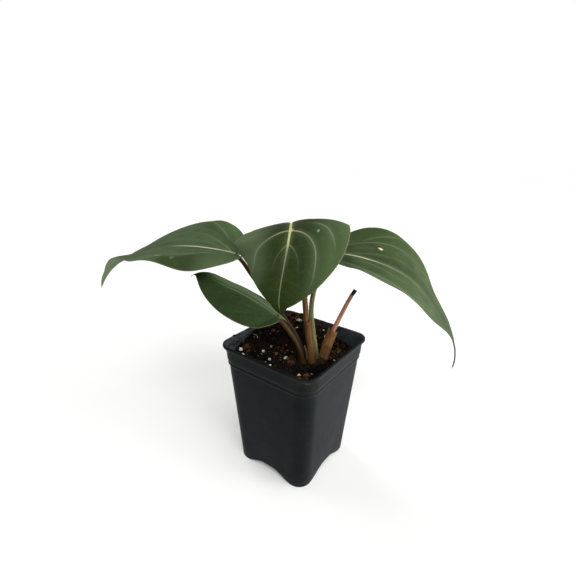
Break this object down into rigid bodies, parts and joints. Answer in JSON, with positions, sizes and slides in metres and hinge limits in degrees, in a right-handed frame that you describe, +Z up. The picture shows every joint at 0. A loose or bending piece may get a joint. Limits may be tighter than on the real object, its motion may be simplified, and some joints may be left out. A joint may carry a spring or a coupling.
{
  "type": "philodendron gloriosum",
  "caption": "Young creeping philodendron with large velvety heart-shaped leaves on slender stalks, growing in a square tapered nursery pot of dark plastic.",
  "frame": {"origin": "under the middle of the whole plant's box, on the surface that the pot stands on", "axes": "+Z up; the pot's sides face +X, -X, +Y and -Y; the pictured side is the corner between -X and -Y, turned a little towards -X"},
  "size_m": [0.2064, 0.2924, 0.2412],
  "materials": {
    "pot": "dark blue-grey moulded plastic, satin, with fine scuffs and soil dust",
    "potting_mix": "damp dark peat mix, crumbly, with brown fibres",
    "rhizome": "dull brown, ringed and scaly",
    "root": "pale tan, matt",
    "perlite": "off-white porous mineral grain, chalky",
    "bark": "rough brown conifer bark",
    "petiole": "pinkish brown with fine green streaks, satin",
    "bract": "dry brown, papery, lengthwise fibres",
    "leaf_blade": "velvety dark green with pale raised veins, paler beneath"
  },
  "bodies": {
    "root": {"pot": "pot", "soil": "potting_mix", "rhizome": "rhizome", "root_1": "root", "root_2": "root", "root_3": "root", "root_4": "root", "root_5": "root", "perlite_1": "perlite", "perlite_2": "perlite", "perlite_3": "perlite", "perlite_4": "perlite", "perlite_5": "perlite", "perlite_6": "perlite", "perlite_7": "perlite", "perlite_8": "perlite", "perlite_9": "perlite", "perlite_10": "perlite", "perlite_11": "perlite", "perlite_12": "perlite", "perlite_13": "perlite", "perlite_14": "perlite", "bark_chip_1": "bark", "bark_chip_2": "bark", "bark_chip_3": "bark", "bark_chip_4": "bark", "bark_chip_5": "bark", "bark_chip_6": "bark", "petiole_left": "petiole", "petiole_low": "petiole", "petiole_middle": "petiole", "petiole_right": "petiole", "cut_petiole": "petiole", "bract_middle": "bract", "bract_cut_petiole": "bract", "bract_dry": "bract", "leaf_left": "leaf_blade", "leaf_middle": "leaf_blade", "leaf_right": "leaf_blade", "leaf_low": "leaf_blade"}
  },
  "joints": []
}
